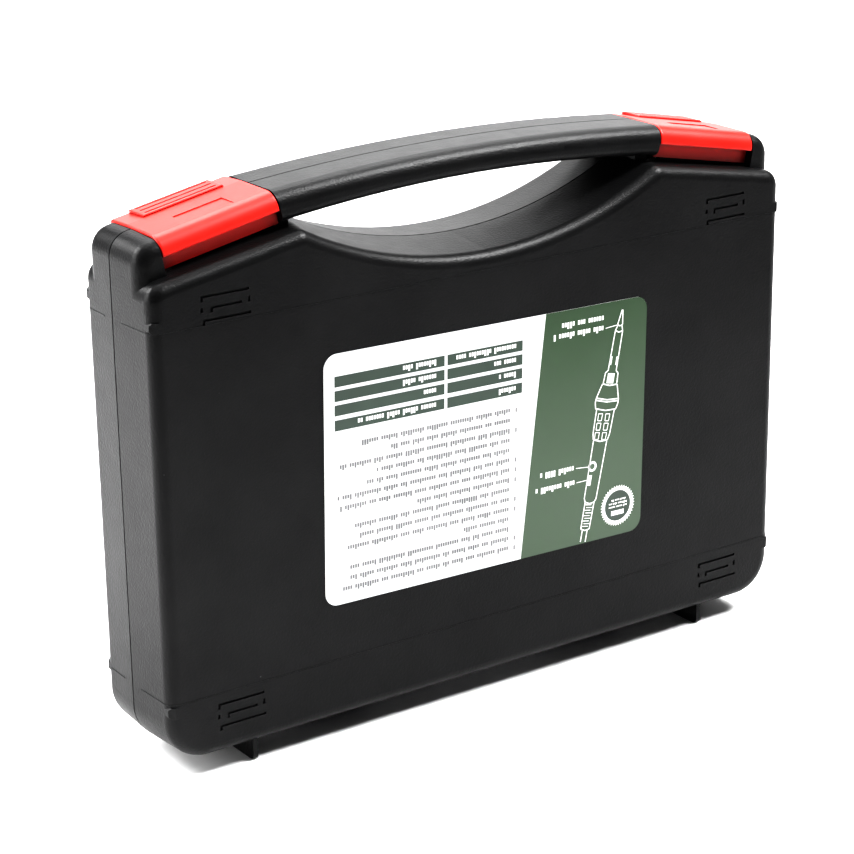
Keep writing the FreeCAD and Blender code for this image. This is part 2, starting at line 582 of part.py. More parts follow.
def wound_wire(x0, x1, y, z, radius, wire_r, turns):
    """Round wire wound about a line along X."""
    helix = Part.makeHelix((x1 - x0 - 2 * wire_r) / turns, x1 - x0 - 2 * wire_r, radius)
    section = Part.Wire([Part.makeCircle(wire_r, V(radius, 0, 0), Y_AXIS)])
    coil = Part.Wire(helix.Edges).makePipeShell([section], True, True)
    coil.rotate(V(0, 0, 0), Y_AXIS, 90)
    coil.translate(V(x0 + wire_r, y, z))
    return coil


# ---- small kit -----------------------------------------------------------------------------
def tweezers():
    """Two sprung arms welded at the tail, points towards -X, lying flat in the tray."""
    thick, tail, point, mid_y = 1.2, 16.0, -104.0, 4.0
    spread = [(tail, 0.0), (tail - 14, 0.0), (-40.0, 3.4), (point, 0.35)]
    arms = []
    for side in (-1, 1):
        inner = [(x, mid_y + side * gap) for x, gap in spread]
        outer = [(x, mid_y + side * (gap + thick)) for x, gap in spread]
        outline = inner + outer[::-1]
        wire = Part.makePolygon([V(x, y, TWEEZER_Z - 5) for x, y in outline + outline[:1]])
        arms.append(Part.Face(wire).extrude(V(0, 0, 10)))
    taper = plate([(point - 1, TWEEZER_Z - 0.8), (-62.0, TWEEZER_Z - 5), (tail + 1, TWEEZER_Z - 5),
                   (tail + 1, TWEEZER_Z + 5), (-62.0, TWEEZER_Z + 5), (point - 1, TWEEZER_Z + 0.8)],
                  -10, 20)
    body = fuse(*arms).common(taper)
    ribs = [box(x - 0.4, x + 0.4, -10, 20, TWEEZER_Z - 3, TWEEZER_Z + 3) for x in range(-48, -28, 3)]
    skin = box(-60, -20, -1.6, -0.35, TWEEZER_Z - 4, TWEEZER_Z + 4)
    return body.cut(Part.makeCompound(ribs).common(skin))


def tip_set():
    """Five spare tips standing side by side, each with another point shape."""
    tips = []
    for i, x in enumerate(TIP_X):
        shank = Part.makeCylinder(TIP_R, 24.0, V(x, TOOL_Y, TIP_Z0), Z_AXIS)
        cone = Part.makeCone(TIP_R, 0.5 + 0.35 * i, 14.0, V(x, TOOL_Y, TIP_Z0 + 24.0), Z_AXIS)
        tip = shank.fuse(cone).cut(Part.makeCylinder(2.2, 20.0, V(x, TOOL_Y, TIP_Z0 - 0.1), Z_AXIS))
        if i % 2:
            wedge = box(x - 4, x + 4, TOOL_Y - 4, TOOL_Y - 0.5, TIP_Z0 + 31, TIP_Z0 + 40)
            wedge.rotate(V(x, TOOL_Y, TIP_Z0 + 31), X_AXIS, -6)
            tip = tip.cut(wedge)
        tips.append(tip)
    return Part.makeCompound(tips)


def solder_pieces():
    y, z = TOOL_Y, SOLDER_Z
    tube = tube_x(-104.0, -28.0, y, z, 7.6, 6.8).fuse(cyl_x(-104.0, -103.0, y, z, 7.0))
    cap = turned_x([(-34.0, 7.95), (-26.0, 7.95), (-25.0, 7.2)], y, z).cut(
        cyl_x(-35.0, -28.0, y, z, 7.65)).cut(cyl_x(-29, -20, y, z, 1.2))
    coil_r, turns = 5.6, 20
    coil = wound_wire(-100.0, -36.0, y, z, coil_r, 0.8, turns)
    return {"solder_tube": tube, "solder_cap": cap, "solder_coil": coil}


def folded_stand():
    """Sheet steel stand, folded flat: a trough with a rest notch and two side flaps."""
    t, x0, x1 = 1.0, -103.0, -26.0
    z0, z1 = STAND_Z - 10.6, STAND_Z + 10.6
    floor = box(x0, x1, 10.0, 10.0 + t, z0, z1)
    flaps = [box(x0, x1, 3.0, 10.5, z, z + t) for z in (z0, z1 - t)]
    rest = box(x0, x0 + t, 3.0, 10.5, z0, z1).cut(
        Part.makeCylinder(5.5, 10, V(x0 - 2, 3.0, STAND_Z), X_AXIS))
    arm = box(x0 + 12, x1 - 6, 6.0, 6.0 + t, z0 + 4, z1 - 4)
    tab = box(x1 - 7, x1 - 6, 6.0, 10.5, z0 + 4, z1 - 4)
    holes = [Part.makeCylinder(2.2, 10, V(x, 5, STAND_Z), Y_AXIS) for x in (-80.0, -50.0)]
    return fuse(floor, rest, arm, tab, *flaps).cut(Part.makeCompound(holes))


# ---- build ---------------------------------------------------------------------------------
def main():
    os.makedirs("parts", exist_ok=True)
    export("base_shell", base_shell())
    export("lid_shell", lid_shell())
    pin_len = 1.5 * KNUCKLE_LEN + KNUCKLE_GAP
    export("hinge_pins", Part.makeCompound(
        [cyl_x(s * HINGE_X - pin_len, s * HINGE_X + pin_len, 0, HINGE_Z, HINGE_PIN_R) for s in (-1, 1)]))
    right, left = both_seats(latch())
    export("latch_right", right)
    export("latch_left", left)
    latch_pin = cyl_x(-LATCH_HALF - 2.9, LATCH_HALF + 2.9, PIN_Y, PIN_Z, PIN_R)
    export("latch_pins", Part.makeCompound(both_seats(latch_pin)))
    export("label", label())
    export("lid_foam", lid_foam())
    for pieces in (tray_blocks(), iron_pieces(), pump_pieces(), solder_pieces()):
        for name, shape in pieces.items():
            export(name, shape)
    export("tweezers", tweezers())
    export("tip_set", tip_set())
    export("folded_stand", folded_stand())


main()
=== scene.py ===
import json
import math
import random

import bmesh
import bpy
from mathutils import Matrix, Vector, noise


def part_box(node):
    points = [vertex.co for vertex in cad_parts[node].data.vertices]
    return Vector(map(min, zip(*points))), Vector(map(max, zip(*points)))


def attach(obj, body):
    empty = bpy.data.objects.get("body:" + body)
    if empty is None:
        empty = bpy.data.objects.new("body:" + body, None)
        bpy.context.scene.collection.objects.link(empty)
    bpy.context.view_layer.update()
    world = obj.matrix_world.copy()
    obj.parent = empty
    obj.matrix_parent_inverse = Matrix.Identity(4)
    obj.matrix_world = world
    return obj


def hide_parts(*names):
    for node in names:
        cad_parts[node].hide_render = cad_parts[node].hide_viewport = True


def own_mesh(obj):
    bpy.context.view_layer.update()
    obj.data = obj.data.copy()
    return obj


# Looks of an upright carry case with a soldering iron kit inside. Metres, in the frame of the CAD
# model: X across the case, -Y the lid's side, +Z up.

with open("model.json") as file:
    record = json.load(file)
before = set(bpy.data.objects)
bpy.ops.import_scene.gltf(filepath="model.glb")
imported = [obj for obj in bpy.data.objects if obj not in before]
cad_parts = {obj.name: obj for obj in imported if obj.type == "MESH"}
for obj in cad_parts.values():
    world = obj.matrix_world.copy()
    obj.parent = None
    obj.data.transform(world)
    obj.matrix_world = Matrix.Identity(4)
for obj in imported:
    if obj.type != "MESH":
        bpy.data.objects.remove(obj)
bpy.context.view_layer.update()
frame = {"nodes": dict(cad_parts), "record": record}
NODES = frame["nodes"]
MM = 0.001


# ---- node helpers --------------------------------------------------------------------------
def new_material(name):
    made = bpy.data.materials.new(name)
    made.use_nodes = True
    tree = made.node_tree
    tree.nodes.clear()
    out = tree.nodes.new("ShaderNodeOutputMaterial")
    shader = tree.nodes.new("ShaderNodeBsdfPrincipled")
    tree.links.new(shader.outputs["BSDF"], out.inputs["Surface"])
    return made, tree, shader


def feed(tree, socket, value):
    if isinstance(value, bpy.types.NodeSocket):
        tree.links.new(value, socket)
    else:
        socket.default_value = value


def place(tree, scale=(1, 1, 1)):
    """Object coordinates, stretched by scale."""
    coords = tree.nodes.new("ShaderNodeTexCoord")
    mapping = tree.nodes.new("ShaderNodeMapping")
    mapping.inputs["Scale"].default_value = scale
    tree.links.new(coords.outputs["Object"], mapping.inputs["Vector"])
    return mapping.outputs["Vector"]


def grain(tree, vector, scale, detail=3.0, roughness=0.55):
    node = tree.nodes.new("ShaderNodeTexNoise")
    node.inputs["Scale"].default_value = scale
    node.inputs["Detail"].default_value = detail
    node.inputs["Roughness"].default_value = roughness
    tree.links.new(vector, node.inputs["Vector"])
    return node.outputs["Fac"]


def cells(tree, vector, scale, feature="F1", output="Distance"):
    node = tree.nodes.new("ShaderNodeTexVoronoi")
    node.feature = feature
    node.inputs["Scale"].default_value = scale
    tree.links.new(vector, node.inputs["Vector"])
    return node.outputs[output]


def levels(tree, fac, stops):
    """Colour ramp; stops is a list of (position, grey or rgb)."""
    node = tree.nodes.new("ShaderNodeValToRGB")
    ramp = node.color_ramp
    while len(ramp.elements) < len(stops):
        ramp.elements.new(0.5)
    for element, (position, colour) in zip(ramp.elements, stops):
        rgb = (colour,) * 3 if isinstance(colour, (int, float)) else colour
        element.position = position
        element.color = (*rgb, 1)
    tree.links.new(fac, node.inputs["Fac"])
    return node.outputs["Color"]


def between(tree, fac, low, high):
    node = tree.nodes.new("ShaderNodeMapRange")
    node.inputs["To Min"].default_value = low
    node.inputs["To Max"].default_value = high
    tree.links.new(fac, node.inputs["Value"])
    return node.outputs["Result"]


def math_node(tree, kind, a, b):
    node = tree.nodes.new("ShaderNodeMath")
    node.operation = kind
    feed(tree, node.inputs[0], a)
    feed(tree, node.inputs[1], b)
    return node.outputs[0]


def mixed(tree, fac, a, b):
    node = tree.nodes.new("ShaderNodeMix")
    node.data_type = "RGBA"
    feed(tree, node.inputs["Factor"], fac)
    for name, value in (("A", a), ("B", b)):
        socket = [s for s in node.inputs if s.name == name and s.type == "RGBA"][0]
        feed(tree, socket, value if isinstance(value, bpy.types.NodeSocket) else (*value, 1))
    return [s for s in node.outputs if s.type == "RGBA"][0]


def bumped(tree, height, distance, strength=1.0, under=None):
    node = tree.nodes.new("ShaderNodeBump")
    node.inputs["Distance"].default_value = distance
    node.inputs["Strength"].default_value = strength
    tree.links.new(height, node.inputs["Height"])
    if under is not None:
        tree.links.new(under, node.inputs["Normal"])
    return node.outputs["Normal"]


def edge_mask(tree, radius):
    """1 on sharp outer and inner edges, 0 on open faces."""
    bevel = tree.nodes.new("ShaderNodeBevel")
    bevel.samples = 4
    bevel.inputs["Radius"].default_value = radius
    geometry = tree.nodes.new("ShaderNodeNewGeometry")
    dot = tree.nodes.new("ShaderNodeVectorMath")
    dot.operation = "DOT_PRODUCT"
    tree.links.new(bevel.outputs["Normal"], dot.inputs[0])
    tree.links.new(geometry.outputs["Normal"], dot.inputs[1])
    return math_node(tree, "SUBTRACT", 1.0, dot.outputs["Value"])


def slot_shade_mask(tree, reach):
    """Mask for painted shade: 1 in the open, falling to 0 in slots and under overhangs."""
    node = tree.nodes.new("ShaderNodeAmbientOcclusion")
    node.samples = 8
    node.inputs["Distance"].default_value = reach
    return levels(tree, node.outputs["AO"], [(0.4, 0.0), (0.8, 1.0)])


# ---- kinds of surface ----------------------------------------------------------------------
WORN_EDGE, SLOT_REACH = 0.6 * MM, 5.0 * MM      # widths of worn edges and of the painted shade in slots
DUST_GREY = (0.3, 0.3, 0.3)


def moulded(name, dark, light, rough, texture=2200, depth=0.02, wear=None, dust=False, specular=0.5,
            glow=0.0, slot_shade=None):
    """Moulded plastic: mottled colour, fine eroded texture, worn edges, a little dust, and painted shade
    of the given colour in its slots and under overhangs. depth is the texture's, in mm."""
    made, tree, shader = new_material(name)
    at = place(tree)
    colour = levels(tree, grain(tree, at, 38.0), [(0.3, dark), (0.7, light)])
    if wear:
        broken = math_node(tree, "MULTIPLY", edge_mask(tree, WORN_EDGE),
                           between(tree, grain(tree, at, 420.0), 0.2, 1.6))
        colour = mixed(tree, levels(tree, broken, [(0.05, 0.0), (0.35, 1.0)]), colour, wear)
    if dust:
        near = levels(tree, cells(tree, at, 210.0), [(0.02, 1.0), (0.06, 0.0)])
        chosen = levels(tree, cells(tree, at, 210.0, output="Color"), [(0.9, 0.0), (0.93, 1.0)])
        colour = mixed(tree, math_node(tree, "MULTIPLY", near, chosen), colour, DUST_GREY)
    # Painted shade: the given dark colour darkens slots and the space under overhangs.
    if slot_shade:
        colour = mixed(tree, slot_shade_mask(tree, SLOT_REACH), slot_shade, colour)
    feed(tree, shader.inputs["Base Color"], colour)
    gloss = grain(tree, at, 160.0)
    feed(tree, shader.inputs["Roughness"], between(tree, gloss, rough - 0.05, rough + 0.05))
    fine = bumped(tree, grain(tree, at, texture, 2.0), depth * MM)
    feed(tree, shader.inputs["Normal"], bumped(tree, grain(tree, at, 55.0), 0.05 * MM, 0.5, fine))
    shader.inputs["Specular IOR Level"].default_value = specular
    shader.inputs["Subsurface Weight"].default_value = glow
    if glow:
        shader.inputs["Subsurface Radius"].default_value = (1.0, 0.15, 0.1)
        shader.inputs["Subsurface Scale"].default_value = 1.5 * MM
    return made


def metal(name, dark, light, rough, along=(1, 1, 1), streaks=900.0, depth=0.006):
    """Metal with drawn or turned streaks, long in the direction in which along is small."""
    made, tree, shader = new_material(name)
    at = place(tree, along)
    lines = grain(tree, at, streaks, 4.0)
    stain = grain(tree, place(tree), 90.0)
    feed(tree, shader.inputs["Base Color"], levels(tree, stain, [(0.25, dark), (0.75, light)]))
    feed(tree, shader.inputs["Roughness"], between(tree, lines, rough - 0.09, rough + 0.11))
    feed(tree, shader.inputs["Normal"], bumped(tree, lines, depth * MM))
    shader.inputs["Metallic"].default_value = 1.0
    return made


def foam(name, dark, light):
    """Cut foam: open cells with painted shade inside them, over a coarse unevenness."""
    made, tree, shader = new_material(name)
    at = place(tree)
    holes = cells(tree, at, 950.0)
    # Painted shade in the open cells.
    pore_shade = tuple(0.35 * c for c in dark)
    tone = mixed(tree, grain(tree, at, 25.0), dark, light)
    feed(tree, shader.inputs["Base Color"],
         mixed(tree, levels(tree, holes, [(0.1, 0.0), (0.5, 1.0)]), pore_shade, tone))
    feed(tree, shader.inputs["Roughness"], between(tree, holes, 0.88, 1.0))
    coarse = bumped(tree, holes, 0.3 * MM, 0.8)
    feed(tree, shader.inputs["Normal"], bumped(tree, grain(tree, at, 260.0), 0.25 * MM, 0.6, coarse))
    shader.inputs["Sheen Weight"].default_value = 0.25
    shader.inputs["Specular IOR Level"].default_value = 0.15
    return made


def laminated(tree, shader, at):
    """Finish of the label: smooth film with a light coat over print and bare stock alike."""
    feed(tree, shader.inputs["Roughness"], between(tree, grain(tree, at, 500.0), 0.3, 0.38))
    feed(tree, shader.inputs["Normal"], bumped(tree, grain(tree, at, 1500.0, 2.0), 0.004 * MM))
    shader.inputs["Coat Weight"].default_value = 0.25
    shader.inputs["Coat Roughness"].default_value = 0.2


def printed(name, dark, light, mottle=60.0):
    """Ink or bare stock of a laminated sheet."""
    made, tree, shader = new_material(name)
    at = place(tree)
    feed(tree, shader.inputs["Base Color"],
         levels(tree, grain(tree, at, mottle), [(0.3, dark), (0.7, light)]))
    laminated(tree, shader, at)
    return made


# Painted reflection of the floor: the printed green is lighter low on the sheet.
GREEN_LOW_SHEEN, GREEN_HIGH = (0.034, 0.068, 0.032), (0.008, 0.042, 0.006)
GREEN_SHEEN_FADE = (60 * MM, 122 * MM)                # heights over which the painted reflection fades out


def green_ink_with_sheen(name):
    """Printed green with a painted reflection of the floor: lighter towards the bottom of the sheet, deeper
    towards its top.
    """
    made, tree, shader = new_material(name)
    at = place(tree)
    split = tree.nodes.new("ShaderNodeSeparateXYZ")
    tree.links.new(at, split.inputs["Vector"])
    rise = tree.nodes.new("ShaderNodeMapRange")
    rise.inputs["From Min"].default_value, rise.inputs["From Max"].default_value = GREEN_SHEEN_FADE
    tree.links.new(split.outputs["Z"], rise.inputs["Value"])
    uneven = between(tree, grain(tree, at, 30.0), -0.3, 0.3)
    # Painted reflection fading out upwards, plus random mottle.
    sheen_and_mottle = math_node(tree, "ADD", rise.outputs["Result"], uneven)
    feed(tree, shader.inputs["Base Color"],
         levels(tree, sheen_and_mottle, [(0.1, GREEN_LOW_SHEEN), (0.95, GREEN_HIGH)]))
    laminated(tree, shader, at)
    return made


def clear_plastic(name, tint):
    """Clear tube wall, a little scuffed."""
    made, tree, shader = new_material(name)
    at = place(tree)
    feed(tree, shader.inputs["Base Color"],
         levels(tree, grain(tree, at, 60.0), [(0.2, tint), (0.8, (0.97, 0.98, 0.99))]))
    feed(tree, shader.inputs["Roughness"], between(tree, grain(tree, at, 300.0), 0.06, 0.16))
    feed(tree, shader.inputs["Normal"], bumped(tree, grain(tree, at, 240.0), 0.02 * MM, 0.4))
    shader.inputs["Transmission Weight"].default_value = 0.9
    shader.inputs["IOR"].default_value = 1.46
    return made


def circuit(name):
    """Printed circuit board: tracks under green lacquer."""
    made, tree, shader = new_material(name)
    at = place(tree)
    tracks = levels(tree, cells(tree, place(tree, (1, 0.1, 2.2)), 330.0, "DISTANCE_TO_EDGE"),
                    [(0.05, 1.0), (0.08, 0.0)])
    board = levels(tree, grain(tree, at, 80.0), [(0.3, (0.012, 0.1, 0.03)), (0.7, (0.02, 0.16, 0.05))])
    feed(tree, shader.inputs["Base Color"], mixed(tree, tracks, board, (0.12, 0.36, 0.12)))
    feed(tree, shader.inputs["Roughness"], between(tree, tracks, 0.4, 0.25))
    feed(tree, shader.inputs["Normal"], bumped(tree, tracks, 0.04 * MM))
    return made


BLACK = ((0.005, 0.005, 0.0053), (0.009, 0.009, 0.0093))
LENGTHWISE = (0.06, 1, 1)
SURFACES = {
    "case_black": lambda n: moulded(n, *BLACK, 0.4, 1500, 0.11, wear=(0.02, 0.02, 0.021), dust=True,
                                    specular=0.17),
    # The latch's dark red in its slots and under its lip is painted shade.
    "latch_red": lambda n: moulded(n, (0.66, 0.014, 0.008), (0.74, 0.022, 0.014), 0.36, 1500, 0.01,
                                   wear=(0.78, 0.05, 0.035), glow=0.12, specular=0.35,
                                   slot_shade=(0.07, 0.002, 0.002)),
    "pin_steel": lambda n: metal(n, (0.5, 0.5, 0.51), (0.62, 0.62, 0.63), 0.3, LENGTHWISE),
    "label_paper": lambda n: printed(n, (0.64, 0.65, 0.65), (0.67, 0.67, 0.67)),
    "foam_grey": lambda n: foam(n, (0.022, 0.022, 0.024), (0.04, 0.04, 0.043)),
    "tip_iron": lambda n: metal(n, (0.5, 0.5, 0.52), (0.66, 0.66, 0.68), 0.2, (1, 0.1, 1), 500.0),
    "sleeve_steel": lambda n: metal(n, (0.5, 0.49, 0.47), (0.66, 0.64, 0.61), 0.3, (1, 0.08, 0.08), 1200.0),
    "heater_ceramic": lambda n: moulded(n, (0.72, 0.69, 0.63), (0.82, 0.79, 0.74), 0.5, 1200, 0.01),
    "iron_body": lambda n: moulded(n, (0.02, 0.045, 0.16), (0.028, 0.06, 0.2), 0.4, wear=(0.08, 0.12, 0.3)),
    "iron_nut": lambda n: moulded(n, (0.016, 0.016, 0.017), (0.026, 0.026, 0.028), 0.48,
                                  wear=(0.08, 0.08, 0.08)),
    "grip_silicone": lambda n: moulded(n, (0.012, 0.012, 0.014), (0.02, 0.02, 0.022), 0.66, 1700, 0.015,
                                       specular=0.3),
    "board_green": circuit,
    "knob_black": lambda n: moulded(n, (0.014, 0.014, 0.014), (0.024, 0.024, 0.024), 0.38,
                                    wear=(0.1, 0.1, 0.1)),
    "switch_red": lambda n: moulded(n, (0.5, 0.012, 0.01), (0.62, 0.02, 0.014), 0.3, wear=(0.7, 0.1, 0.08)),
    "pump_blue": lambda n: metal(n, (0.03, 0.12, 0.42), (0.05, 0.17, 0.52), 0.32, (0.05, 1, 1), 1100.0),
    "pump_black": lambda n: moulded(n, (0.014, 0.014, 0.015), (0.024, 0.024, 0.025), 0.42,
                                    wear=(0.08, 0.08, 0.08)),
    "nozzle_white": lambda n: moulded(n, (0.76, 0.76, 0.73), (0.84, 0.84, 0.81), 0.42, glow=0.2),
    "spring_steel": lambda n: metal(n, (0.45, 0.45, 0.46), (0.6, 0.6, 0.61), 0.28),
    "tweezer_steel": lambda n: metal(n, (0.55, 0.55, 0.56), (0.68, 0.68, 0.69), 0.34, LENGTHWISE, 1300.0),
    "tube_clear": lambda n: clear_plastic(n, (0.86, 0.9, 0.93)),
    "cap_blue": lambda n: moulded(n, (0.02, 0.09, 0.36), (0.03, 0.12, 0.44), 0.4, wear=(0.1, 0.2, 0.5)),
    "solder_tin": lambda n: metal(n, (0.6, 0.61, 0.62), (0.74, 0.74, 0.75), 0.36),
    "stand_zinc": lambda n: metal(n, (0.5, 0.51, 0.53), (0.66, 0.67, 0.69), 0.38, (1, 1, 1), 220.0, 0.01),
}
PAINT = {slot: make(slot) for slot, make in SURFACES.items()}
for part in frame["record"]["subparts"]:
    data = NODES[part["node"]].data
    data.materials.clear()
    data.materials.append(PAINT[part["material_slot"]])


# ---- pieces --------------------------------------------------------------------------------
def piece(name, mesh, body, slot_name, *materials):
    """Visible piece that rides on a body, with the given materials; slot_name is not used."""
    made = bpy.data.objects.new(name, mesh)
    bpy.context.scene.collection.objects.link(made)
    for i, m in enumerate(materials):
        if i < len(mesh.materials):
            mesh.materials[i] = m
        else:
            mesh.materials.append(m)
    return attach(made, body)


def middle(node):
    """Middle, low corner and high corner of a CAD node."""
    low, high = (Vector(p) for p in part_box(node))
    return (low + high) / 2, low, high


# ---- print on the label --------------------------------------------------------------------
# Distances on the label are millimetres from its middle: u to the right, v up.
LABEL_TURN = math.radians(1.2)
HALF_U, HALF_V, CORNER = 60.95, 39.55, 4.5
LABEL_AT, LABEL_LOW, LABEL_HIGH = middle("label")
INKS = ("green", "bar", "grey", "white")
LIFT = {"green": 0.02, "bar": 0.035, "grey": 0.035, "white": 0.05}     # mm in front of the sheet


class Print:
    """Collects flat shapes of one ink each, then turns them into one mesh."""

    def __init__(self):
        self.mesh = bmesh.new()

    def shape(self, ink, points):
        lift = LABEL_LOW.y - LIFT[ink] * MM
        c, s = math.cos(LABEL_TURN), math.sin(LABEL_TURN)
        corners = []
        for u, v in points:
            x = (u * c + v * s) * MM
            z = (v * c - u * s) * MM
            corners.append(self.mesh.verts.new((LABEL_AT.x + x, lift, LABEL_AT.z + z)))
        face = self.mesh.faces.new(corners)
        face.normal_update()
        if face.normal.y > 0:
            face.normal_flip()
        face.material_index = INKS.index(ink)

    def bar(self, ink, u0, u1, v0, v1):
        self.shape(ink, [(u0, v0), (u1, v0), (u1, v1), (u0, v1)])

    def line(self, ink, points, width):
        for (u0, v0), (u1, v1) in zip(points, points[1:]):
            length = math.hypot(u1 - u0, v1 - v0)
            nu, nv = -(v1 - v0) / length * width / 2, (u1 - u0) / length * width / 2
            self.shape(ink, [(u0 + nu, v0 + nv), (u1 + nu, v1 + nv),
                             (u1 - nu, v1 - nv), (u0 - nu, v0 - nv)])

    def ring(self, ink, centre, inner, outer, sides=48, tooth=0.0):
        def at(i, radius):
            angle = 2 * math.pi * i / sides
            return centre[0] + radius * math.cos(angle), centre[1] + radius * math.sin(angle)
        for i in range(sides):
            out0, out1 = (outer - tooth * ((i + k) % 2) for k in (0, 1))
            self.shape(ink, [at(i, inner), at(i + 1, inner), at(i + 1, out1), at(i, out0)])

    def disc(self, ink, centre, radius, sides=40):
        self.shape(ink, [(centre[0] + radius * math.cos(2 * math.pi * i / sides),
                          centre[1] + radius * math.sin(2 * math.pi * i / sides)) for i in range(sides)])

    def marks(self, ink, u0, u1, v, height, seed):
        """A row of plain little blocks where the label has a line of print; they spell nothing."""
        chance = random.Random(seed)
        pitch, u, left_in_group = height * 0.5, u1, chance.randint(4, 10)
        while u - pitch > u0:
            if left_in_group:
                tall = height * (1.0 if chance.random() < 0.25 else 0.68)
                self.bar(ink, u - pitch * 0.74, u, v + height / 2 - tall, v + height / 2)
                left_in_group -= 1
            else:
                left_in_group = chance.randint(3, 11)
            u -= pitch


def rounded_right(u_top, u_bottom):
    """The green field: slanted on its left, with the sheet's rounded corners on its right."""
    points = [(u_top, HALF_V), (u_bottom, -HALF_V)]
    for cv, start in ((-HALF_V + CORNER, -90), (HALF_V - CORNER, 0)):
        for i in range(9):
            angle = math.radians(start + 90 * i / 8)
            points.append((HALF_U - CORNER + CORNER * math.cos(angle), cv + CORNER * math.sin(angle)))
    return points


IRON_TIP, IRON_SLANT = (51.0, 36.3), math.radians(10.4)
PEN, THIN_PEN, LOOP_PEN = 0.42, 0.28, 0.3


def on_iron(along, off=0.0):
    """Label place of a point on the drawn iron: along from its tip, off to its left."""
    return (IRON_TIP[0] - along * math.sin(IRON_SLANT) - off * math.cos(IRON_SLANT),
            IRON_TIP[1] - along * math.cos(IRON_SLANT) + off * math.sin(IRON_SLANT))


def draw_iron(art):
    """Generic outline drawing of a soldering iron; each run is (along, half width) stations."""
    tip = [(0.0, 0.15), (4.8, 1.0)]
    sleeve = [(4.8, 0.7), (6.8, 1.5), (19.8, 1.65)]
    nut = [(19.8, 1.65), (20.6, 2.6), (23.9, 2.8)]
    grip = [(24.2, 3.0), (25.0, 3.3), (29.0, 4.6), (30.4, 4.7), (32.2, 4.2), (32.7, 3.65),
            (40.5, 3.45), (42.6, 2.9)]
    handle = [(43.0, 2.75), (62.1, 2.45), (63.3, 1.85), (72.3, 1.75)]
    cord_end = [(72.3, 1.0), (76.6, 1.0)]
    for run in (tip, sleeve, nut, grip, handle, cord_end):
        for side in (-1, 1):
            art.line("white", [on_iron(a, side * h) for a, h in run], PEN)
    for along, half in ((4.8, 1.0), (6.8, 1.5), (24.2, 3.0), (28.9, 4.6), (29.6, 4.65), (32.4, 3.9),
                        (42.6, 2.9), (63.3, 1.85), (72.3, 1.75)):
        art.line("white", [on_iron(along, -half), on_iron(along + 0.5, 0), on_iron(along, half)], PEN)
    for a0, a1, o0, o1 in ((15.2, 18.0, 0.8, 1.6), (15.2, 18.0, -1.6, -0.8), (20.7, 24.0, -1.3, 1.5)):
        art.shape("white", [on_iron(a0, o0), on_iron(a1, o0), on_iron(a1, o1), on_iron(a0, o1)])
    for a in (34.0, 37.1, 40.2):
        for o in (1.7, -1.3):
            loop = [on_iron(a, o + 0.85), on_iron(a + 2.3, o + 0.75), on_iron(a + 2.3, o - 0.75),
                    on_iron(a, o - 0.85), on_iron(a, o + 0.85)]
            art.line("white", loop, LOOP_PEN)
    art.ring("white", on_iron(51.4, 1.4), 0.95, 1.75, 28)
    art.shape("white", [on_iron(54.3, 2.5), on_iron(57.8, 2.5), on_iron(57.8, 0.9), on_iron(54.3, 0.9)])
    for i in range(9):
        a = 64.2 + i * 0.9
        sway = 0.5 * (i % 2)
        art.line("white", [on_iron(a, 1.5 - sway), on_iron(a, -1.0 - sway)], THIN_PEN)


def draw_table(art):
    """Four dark rows in two columns; each row is (v, left end of its marks in each column)."""
    row_half, mark_height = 1.65, 1.9
    rows = [(30.95, -33.2, -13.8), (26.5, -33.2, 0.2), (22.05, -26.2, 1.8), (17.4, -49.5, 1.8)]
    for i, (v, mark_left, name_left) in enumerate(rows):
        art.bar("bar", -57.2, -17.7, v - row_half, v + row_half)
        art.bar("bar", -16.6, 11.7, v - row_half, v + row_half)
        art.marks("white", mark_left, -20.8, v, mark_height, 10 + i)
        art.marks("white", name_left, 9.2, v, mark_height, 20 + i)


def draw_paragraph(art):
    """Lines of grey marks, each with its left end; some begin with a small square."""
    first_v, pitch, mark_height, square = 10.5, 3.25, 1.75, 0.7
    lefts = [-48, -39, -56, -43, -47, -57, -56, -28, -52, -50.5, -54, -11, -53, -53, -55]
    numbered = (0, 2, 5, 6, 7, 9, 10, 13, 14)
    for i, left in enumerate(lefts):
        v = first_v - pitch * i
        art.marks("grey", left, 7.2, v, mark_height, 40 + i)
        if i in numbered:
            art.bar("grey", 9.3, 9.9, v - square, v + square)


def draw_callouts(art):
    """Names of the iron's pieces with their leader lines: (left, right, v) and the point named."""
    mark_height = 2.1
    callouts = [(22.6, 43.4, 31.2, 5.0, 1.1), (18.3, 32.8, -13.4, 51.6, 3.1),
                (16.7, 33.2, -18.3, 56.0, 2.8)]
    for i, (u0, u1, v, along, off) in enumerate(callouts):
        art.marks("white", u0, u1, v, mark_height, 70 + i)
        art.line("white", [(u1 + 0.9, v), on_iron(along, off)], THIN_PEN)
    art.marks("white", 26.1, 43.4, 34.5, mark_height, 80)


def draw_seal(art):
    """Plain toothed seal with a few marks and a bar in it."""
    u, v = 51.2, -29.4
    disc_r, rim_r, teeth, tooth = 5.2, 7.0, 84, 0.7
    art.ring("white", (u, v), disc_r, rim_r, teeth, tooth)
    art.disc("bar", (u, v), disc_r)
    for rise, half in ((1.9, 3.3), (0.75, 3.8), (-0.4, 3.8)):
        art.marks("white", u - half, u + half, v + rise, 0.75, 90 + int(10 * half + rise))
    art.bar("white", u - 2.6, u + 2.6, v - 3.2, v - 1.6)


def label_print():
    art = Print()
    art.shape("green", rounded_right(20.6, 12.3))
    for draw in (draw_table, draw_paragraph, draw_iron, draw_callouts, draw_seal):
        draw(art)
    mesh = bpy.data.meshes.new("label_print")
    art.mesh.to_mesh(mesh)
    art.mesh.free()
    piece("label_print", mesh, "lid", "label_paper",
          green_ink_with_sheen("ink_green"),
          printed("ink_bar", (0.012, 0.03, 0.018), (0.02, 0.045, 0.028), mottle=40.0),
          printed("ink_grey", (0.14, 0.14, 0.145), (0.2, 0.2, 0.205)),
          printed("ink_white", (0.8, 0.81, 0.79), (0.86, 0.86, 0.84)))


label_print()


